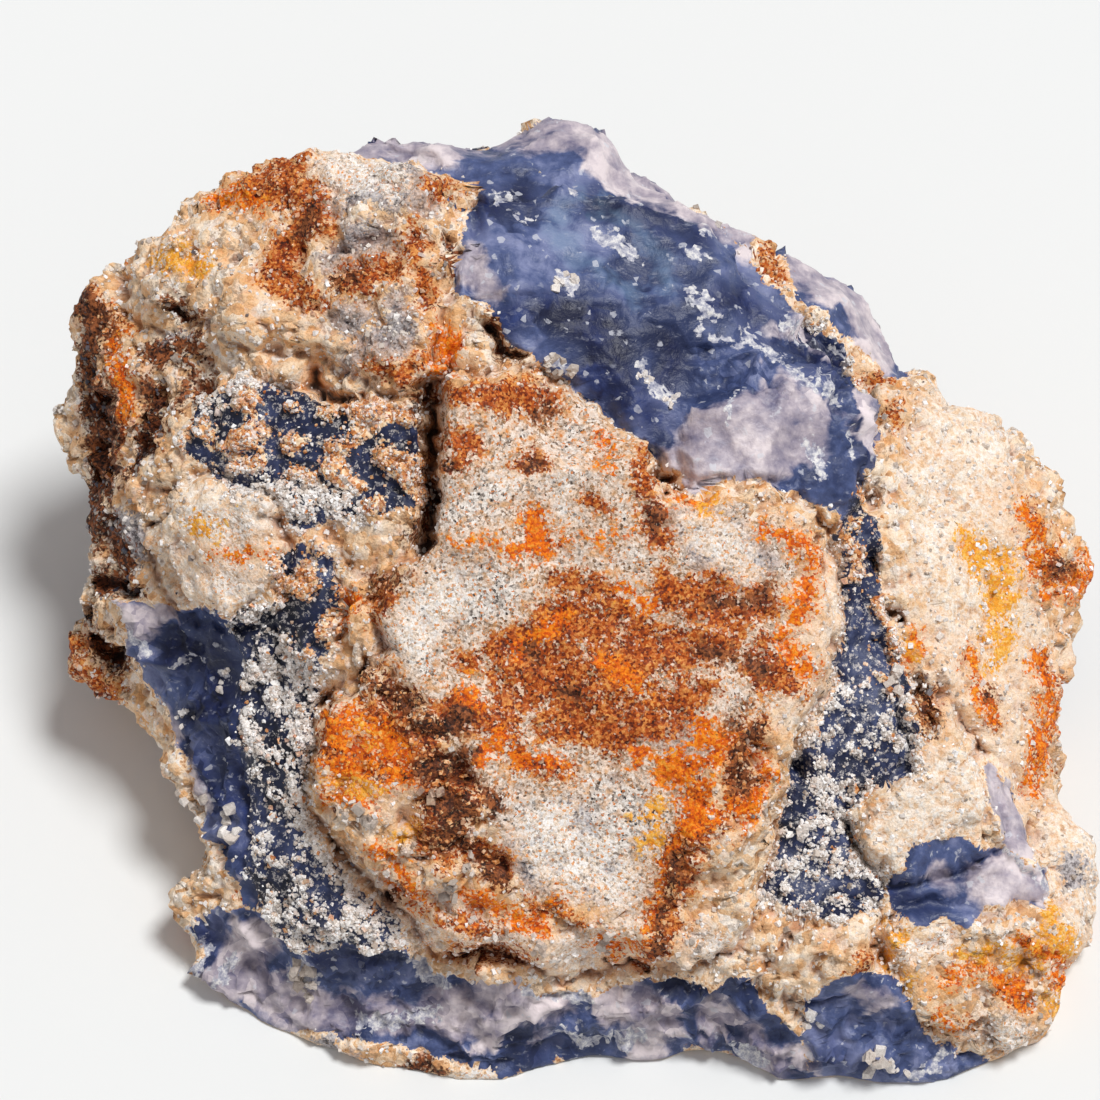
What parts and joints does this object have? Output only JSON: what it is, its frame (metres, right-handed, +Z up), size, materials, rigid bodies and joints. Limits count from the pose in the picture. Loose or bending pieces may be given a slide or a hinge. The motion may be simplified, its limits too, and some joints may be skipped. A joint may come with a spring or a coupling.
{
  "type": "blue lace agate specimen",
  "caption": "Rough hand specimen of blue lace agate: blue-grey chalcedony under a rusty sandstone and quartz crust, resting on a flat broken face.",
  "frame": {"origin": "middle of the stone's bounding box, on the face it rests on", "axes": "+Z up, +X to the right of the display face along the stone's length, -Y towards the viewer of the display face"},
  "size_m": [0.0622, 0.0544, 0.0315],
  "materials": {
    "chalcedony": "rough broken blue-grey chalcedony with a rusty sandstone and quartz crust"
  },
  "bodies": {
    "root": {"agate_stone": "chalcedony"}
  },
  "joints": []
}
